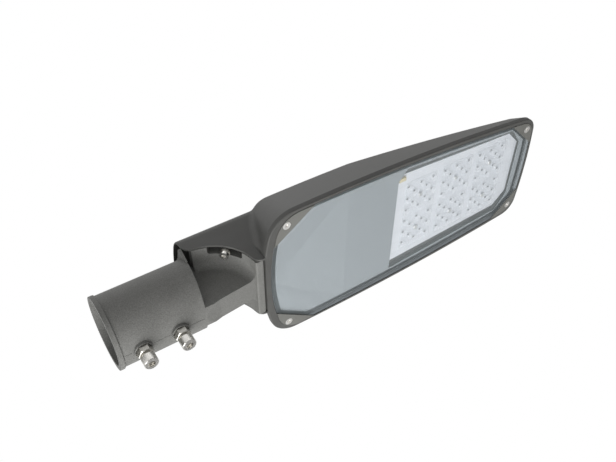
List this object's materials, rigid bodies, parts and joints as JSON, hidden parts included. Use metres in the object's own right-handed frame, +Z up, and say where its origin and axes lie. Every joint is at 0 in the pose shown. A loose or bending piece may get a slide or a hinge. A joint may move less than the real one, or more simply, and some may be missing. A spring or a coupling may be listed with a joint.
{
  "type": "led street light head",
  "caption": "Flat tapered street light head on a tilting pole spigot, with a glass front, finned die-cast back and clamped knuckle.",
  "frame": {"origin": "centre of the pole socket's mouth, on the socket's axis", "axes": "+X from the pole to the tip of the head, +Z up as mounted on a level arm, the glass looks down to -Z"},
  "size_m": [0.4921, 0.1586, 0.0926],
  "materials": {
    "spigot_paint": "satin powder coat, slightly textured",
    "housing_paint": "satin powder coat",
    "stainless": "turned stainless steel",
    "clear_glass": "clear toughened glass",
    "grey_print": "baked grey print",
    "black_rubber": "matt silicone rubber",
    "clip_paint": "satin powder coat",
    "white_board": "white coated aluminium board",
    "yellow_chip": "phosphor faced chips",
    "clear_lens": "clear moulded acrylic",
    "driver_case": "plain moulded case",
    "terminal_plastic": "moulded nylon",
    "gland_plastic": "moulded nylon"
  },
  "bodies": {
    "spigot_body": {"spigot": "spigot_paint", "set_screws": "stainless", "lock_nuts": "stainless"},
    "head_body": {"housing": "housing_paint", "clamp_screws": "stainless", "flat_washers": "stainless", "spring_washers": "stainless", "glass_pane": "clear_glass", "border_print": "grey_print", "glass_seal": "black_rubber", "clip_base_left": "clip_paint", "clip_base_right": "clip_paint", "clip_tip_left": "clip_paint", "clip_tip_right": "clip_paint", "clip_screws": "stainless", "light_board": "white_board", "light_chips": "yellow_chip", "lens_block_1": "clear_lens", "lens_block_2": "clear_lens", "lens_block_3": "clear_lens", "lens_screws": "stainless", "driver": "driver_case", "driver_screws": "stainless", "terminal_block": "terminal_plastic", "terminal_screws": "stainless", "cable_gland": "gland_plastic", "gland_seal": "black_rubber", "gland_nut": "gland_plastic"}
  },
  "joints": [
    {"name": "head_tilt", "type": "hinge", "parent": "spigot_body", "child": "head_body", "pos_m": [0.0918, 0, -0.0293], "axis": [0, 1, 0], "range_deg": [-15, 15]}
  ]
}
